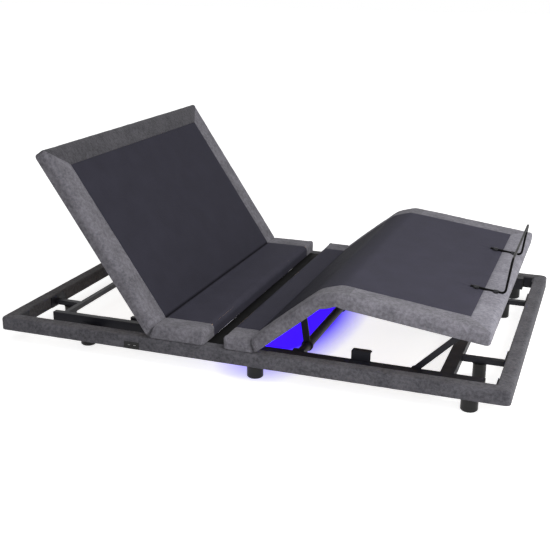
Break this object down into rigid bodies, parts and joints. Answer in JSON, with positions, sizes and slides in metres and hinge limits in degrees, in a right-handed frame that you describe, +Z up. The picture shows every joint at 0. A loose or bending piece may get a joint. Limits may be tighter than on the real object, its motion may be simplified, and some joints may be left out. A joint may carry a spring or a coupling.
{
  "type": "adjustable bed base",
  "caption": "Low adjustable bed base: grey upholstered rails on short legs, a raising back on a sliding carriage, a folding leg section and a foot-end mattress retainer.",
  "frame": {"origin": "middle of the footprint, on the floor", "axes": "+X along the bed to the foot end, +Y across it to the sleeper's left, +Z up"},
  "size_m": [2.032, 1.372, 0.8016],
  "materials": {
    "suede": "mottled suede weave",
    "black_cloth": "matt non-woven cloth",
    "timber": "raw plywood",
    "black_steel": "semi-gloss powder coat",
    "zinc": "zinc plated",
    "nylon": "nylon",
    "black_plastic": "satin moulded",
    "led_violet": "lit strip"
  },
  "bodies": {
    "base": {"head_rail": "suede", "foot_rail": "suede", "right_rail": "suede", "left_rail": "suede", "rail_corner_plates": "black_steel", "outer_legs": "black_plastic", "inner_legs": "black_plastic", "head_channels": "black_steel", "foot_side_tubes": "black_steel", "tube_end_caps": "black_plastic", "centre_beam": "black_steel", "head_cross_frame": "black_steel", "foot_cross_frame": "black_steel", "rest_brackets": "black_steel", "usb_module": "black_plastic", "led_strip": "led_violet", "control_box": "black_plastic", "foot_lift_bearings": "black_plastic", "seat_b_board": "timber", "seat_b_border": "suede", "seat_b_panel": "black_cloth", "seat_b_brackets": "black_steel", "seat_b_hinges": "zinc"},
    "carriage": {"carriage_side_bars": "black_steel", "carriage_cross_tubes": "black_steel", "head_lift_bearings": "black_plastic", "seat_a_board": "timber", "seat_a_border": "suede", "seat_a_panel": "black_cloth", "seat_a_hinges": "zinc"},
    "front_wheels": {"carriage_front_wheels": "nylon"},
    "rear_wheels": {"carriage_rear_wheels": "nylon"},
    "back": {"back_board": "timber", "back_border": "suede", "back_panel": "black_cloth", "back_hinge_leaves": "zinc"},
    "head_lift": {"head_lift_tube": "zinc"},
    "head_rollers": {"head_lift_rollers": "nylon"},
    "head_motor": {"head_actuator_motor": "black_plastic"},
    "head_rod": {"head_actuator_rod": "zinc"},
    "thigh": {"thigh_board": "timber", "thigh_border": "suede", "thigh_panel": "black_cloth", "thigh_hinge_leaves": "zinc"},
    "knee": {"knee_board": "timber", "knee_border": "suede", "knee_panel": "black_cloth", "knee_hinge_leaves": "zinc"},
    "calf": {"calf_board": "timber", "calf_border": "suede", "calf_panel": "black_cloth", "calf_hinge_leaves": "zinc", "calf_link_lugs": "black_steel", "retainer_bar": "black_steel", "retainer_clamps": "zinc"},
    "links": {"calf_links": "black_steel"},
    "foot_lift": {"foot_lift_tube": "zinc"},
    "foot_rollers": {"foot_lift_rollers": "nylon"},
    "foot_motor": {"foot_actuator_motor": "black_plastic"},
    "foot_rod": {"foot_actuator_rod": "zinc"}
  },
  "joints": [
    {"name": "carriage_slide", "type": "slide", "parent": "base", "child": "carriage", "axis": [1, 0, 0], "range_m": [-0.00268, 0.07452]},
    {"name": "back_hinge", "type": "hinge", "parent": "carriage", "child": "back", "pos_m": [-0.33, 0, 0.1516], "axis": [0, 1, 0], "range_deg": [-56, 2]},
    {"name": "front_wheel_spin", "type": "hinge", "parent": "carriage", "child": "front_wheels", "pos_m": [-0.229, 0, 0.0803], "axis": [0, 1, 0], "range_deg": [-6.95, 194.04]},
    {"name": "rear_wheel_spin", "type": "hinge", "parent": "carriage", "child": "rear_wheels", "pos_m": [-0.614, 0, 0.0803], "axis": [0, 1, 0], "range_deg": [-6.95, 194.04]},
    {"name": "head_lift_turn", "type": "hinge", "parent": "carriage", "child": "head_lift", "pos_m": [-0.4974, 0, 0.088], "axis": [0, 1, 0], "range_deg": [-118.61, 4.25]},
    {"name": "head_roller_spin", "type": "hinge", "parent": "head_lift", "child": "head_rollers", "pos_m": [-0.39703, 0, 0.19947], "axis": [0, 1, 0], "continuous": true},
    {"name": "head_motor_pivot", "type": "hinge", "parent": "base", "child": "head_motor", "pos_m": [-0.069, 0, 0.042], "axis": [0, 1, 0], "range_deg": [-0.053, 0.932]},
    {"name": "head_rod_stroke", "type": "slide", "parent": "head_motor", "child": "head_rod", "axis": [-0.9996, 0, 0.0281], "range_m": [-0.16038, 0.00575]},
    {"name": "thigh_hinge", "type": "hinge", "parent": "base", "child": "thigh", "pos_m": [0.07, 0, 0.1516], "axis": [0, -1, 0], "range_deg": [-39.5, 1]},
    {"name": "knee_hinge", "type": "hinge", "parent": "thigh", "child": "knee", "pos_m": [0.31656, 0, 0.33671], "axis": [0, 1, 0], "range_deg": [-23.47, 0.61]},
    {"name": "calf_hinge", "type": "hinge", "parent": "knee", "child": "calf", "pos_m": [0.38768, 0, 0.35717], "axis": [0, 1, 0], "range_deg": [-23.47, 0.61]},
    {"name": "calf_link_turn", "type": "hinge", "parent": "base", "child": "links", "pos_m": [0.664, 0, 0.098], "axis": [0, -1, 0], "range_deg": [-41.66, 1.07]},
    {"name": "foot_lift_turn", "type": "hinge", "parent": "base", "child": "foot_lift", "pos_m": [0.2271, 0, 0.088], "axis": [0, -1, 0], "range_deg": [-84.29, 2.15]},
    {"name": "foot_roller_spin", "type": "hinge", "parent": "foot_lift", "child": "foot_rollers", "pos_m": [0.20602, 0, 0.2264], "axis": [0, -1, 0], "continuous": true},
    {"name": "foot_motor_pivot", "type": "hinge", "parent": "base", "child": "foot_motor", "pos_m": [0.725, 0, 0.065], "axis": [0, -1, 0], "range_deg": [-0.038, 0.734]},
    {"name": "foot_rod_stroke", "type": "slide", "parent": "foot_motor", "child": "foot_rod", "axis": [-0.9921, 0, 0.1258], "range_m": [-0.06682, 0.00171]}
  ],
  "couplings": [
    {"joint": "carriage_slide", "follows": "back_hinge", "m_per_rad": -0.076224},
    {"joint": "front_wheel_spin", "follows": "back_hinge", "ratio": -3.4647},
    {"joint": "rear_wheel_spin", "follows": "back_hinge", "ratio": -3.4647},
    {"joint": "head_lift_turn", "follows": "back_hinge", "ratio": 2.1176},
    {"joint": "head_motor_pivot", "follows": "back_hinge", "ratio": -0.016281},
    {"joint": "head_rod_stroke", "follows": "back_hinge", "m_per_rad": 0.16407},
    {"joint": "knee_hinge", "follows": "thigh_hinge", "ratio": 0.59367},
    {"joint": "calf_hinge", "follows": "thigh_hinge", "ratio": 0.59367},
    {"joint": "calf_link_turn", "follows": "thigh_hinge", "ratio": 1.0543},
    {"joint": "foot_lift_turn", "follows": "thigh_hinge", "ratio": 2.1333},
    {"joint": "foot_motor_pivot", "follows": "thigh_hinge", "ratio": -0.018084},
    {"joint": "foot_rod_stroke", "follows": "thigh_hinge", "m_per_rad": 0.096901}
  ]
}
